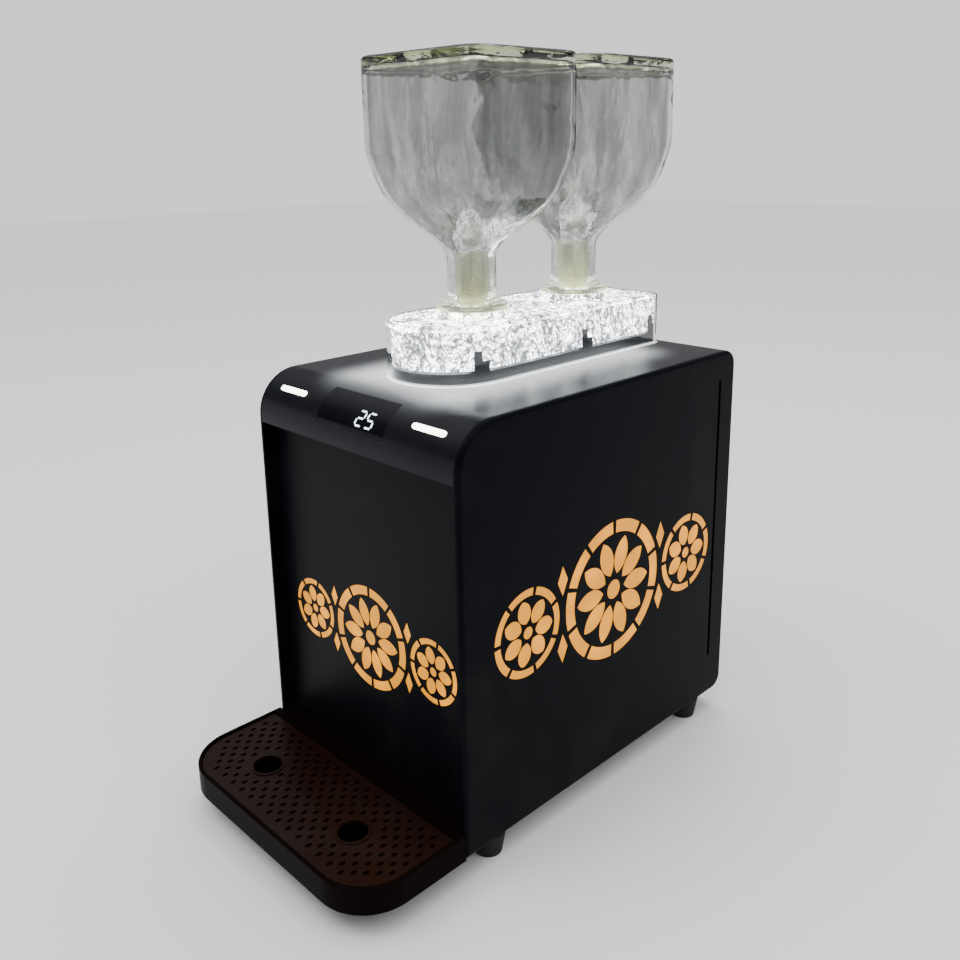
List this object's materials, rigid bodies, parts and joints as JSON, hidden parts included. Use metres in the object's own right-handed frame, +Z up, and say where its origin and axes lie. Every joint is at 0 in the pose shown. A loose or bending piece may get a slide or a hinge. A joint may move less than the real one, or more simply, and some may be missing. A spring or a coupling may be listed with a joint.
{
  "type": "shot dispenser",
  "caption": "Countertop machine that chills and pours shots from inverted square bottles on a lit ice block, with a display, light-bar keys and a slotted drip tray.",
  "frame": {"origin": "centre of the overall footprint, on the table that the feet stand on", "axes": "+Z up, -Y towards the user and the drip tray, +X to the user's right when facing the front"},
  "size_m": [0.206, 0.37, 0.5045],
  "materials": {
    "case": "gloss black powder coat",
    "panel": "satin black powder coat",
    "pan": "matt black powder coat",
    "steel": "brushed",
    "screw": "blackened",
    "rubber": "matt",
    "tray": "gloss black",
    "grille": "satin black",
    "lens": "smoked gloss",
    "module": "dark grey",
    "board": "green solder mask",
    "black_plastic": "fine texture",
    "key": "lit amber white",
    "band": "dark gloss",
    "lamp": "lit amber",
    "ice": "crackled clear acrylic",
    "clear": "clear acrylic",
    "bottle": "clear glass",
    "silicone": "translucent",
    "stopper": "frosted",
    "socket": "dark gloss",
    "aluminium": "milled",
    "foam": "closed-cell foam",
    "ceramic": "white ceramic",
    "zinc": "zinc plated",
    "pump": "grey moulding",
    "roller": "white moulding",
    "tube": "translucent silicone",
    "amber": "amber diffuser"
  },
  "bodies": {
    "case": {"side_panel_left": "case", "side_panel_right": "case", "top_cover": "case", "front_panel": "panel", "rear_panel": "panel", "base_plate": "pan", "foot_front_left": "rubber", "foot_front_right": "rubber", "foot_rear_left": "rubber", "foot_rear_right": "rubber", "foot_screws": "steel", "rear_screws": "screw", "display_lens": "lens", "display_module": "module", "button_board": "board", "tact_switches": "black_plastic", "board_posts": "zinc", "block_base": "band", "block_light": "lamp", "ice_insert": "ice", "block_cover": "clear", "bottle_socket_front": "socket", "bottle_socket_rear": "socket", "socket_seals": "silicone", "cold_block": "aluminium", "foam_jacket": "foam", "cooling_modules": "ceramic", "heat_sink": "aluminium", "cooler_stand": "zinc", "fan_frame": "black_plastic", "pump_bracket": "zinc", "pump_left": "pump", "pump_right": "pump", "feed_tubes": "tube", "suction_tubes": "tube", "delivery_tubes": "tube", "nozzle_left": "steel", "nozzle_right": "steel", "power_supply": "zinc", "control_board": "board", "power_inlet": "black_plastic", "power_switch_body": "black_plastic", "ornament_pane_left": "amber", "ornament_pane_right": "amber", "ornament_pane_front": "amber", "side_light_boards": "board", "front_light_board": "board"},
    "drip_tray": {"drip_tray": "tray"},
    "drip_grille": {"drip_grille": "grille"},
    "key_left": {"dispense_key_left": "key"},
    "key_right": {"dispense_key_right": "key"},
    "bottle_front": {"bottle_front": "bottle", "stopper_front": "stopper"},
    "bottle_rear": {"bottle_rear": "bottle", "stopper_rear": "stopper"},
    "fan": {"fan_rotor": "black_plastic"},
    "pump_rotor_left": {"pump_rotor_left": "roller"},
    "pump_rotor_right": {"pump_rotor_right": "roller"},
    "rocker": {"power_rocker": "black_plastic"}
  },
  "joints": [
    {"name": "tray_pull", "type": "slide", "parent": "case", "child": "drip_tray", "axis": [0, -1, 0], "range_m": [0, 0.04]},
    {"name": "grille_lift", "type": "slide", "parent": "drip_tray", "child": "drip_grille", "axis": [0, 0, 1], "range_m": [0, 0.03]},
    {"name": "key_left_press", "type": "slide", "parent": "case", "child": "key_left", "axis": [0, 0.7108, -0.7034], "range_m": [0, 0.0012], "stiffness_N_per_m": 800, "springref_m": -0.001},
    {"name": "key_right_press", "type": "slide", "parent": "case", "child": "key_right", "axis": [0, 0.7108, -0.7034], "range_m": [0, 0.0012], "stiffness_N_per_m": 800, "springref_m": -0.001},
    {"name": "bottle_front_lift", "type": "slide", "parent": "case", "child": "bottle_front", "axis": [0, 0, 1], "range_m": [0, 0.07]},
    {"name": "bottle_rear_lift", "type": "slide", "parent": "case", "child": "bottle_rear", "axis": [0, 0, 1], "range_m": [0, 0.07]},
    {"name": "fan_spin", "type": "hinge", "parent": "case", "child": "fan", "pos_m": [0, 0.17, 0.186], "axis": [0, 1, 0], "continuous": true},
    {"name": "pump_left_spin", "type": "hinge", "parent": "case", "child": "pump_rotor_left", "pos_m": [-0.0385, -0.05, 0.106], "axis": [0, 1, 0], "continuous": true},
    {"name": "pump_right_spin", "type": "hinge", "parent": "case", "child": "pump_rotor_right", "pos_m": [0.0385, -0.05, 0.106], "axis": [0, 1, 0], "continuous": true},
    {"name": "rocker_tilt", "type": "hinge", "parent": "case", "child": "rocker", "pos_m": [0.058, 0.17882, 0.0855], "axis": [1, 0, 0], "range_deg": [0, 14]}
  ]
}
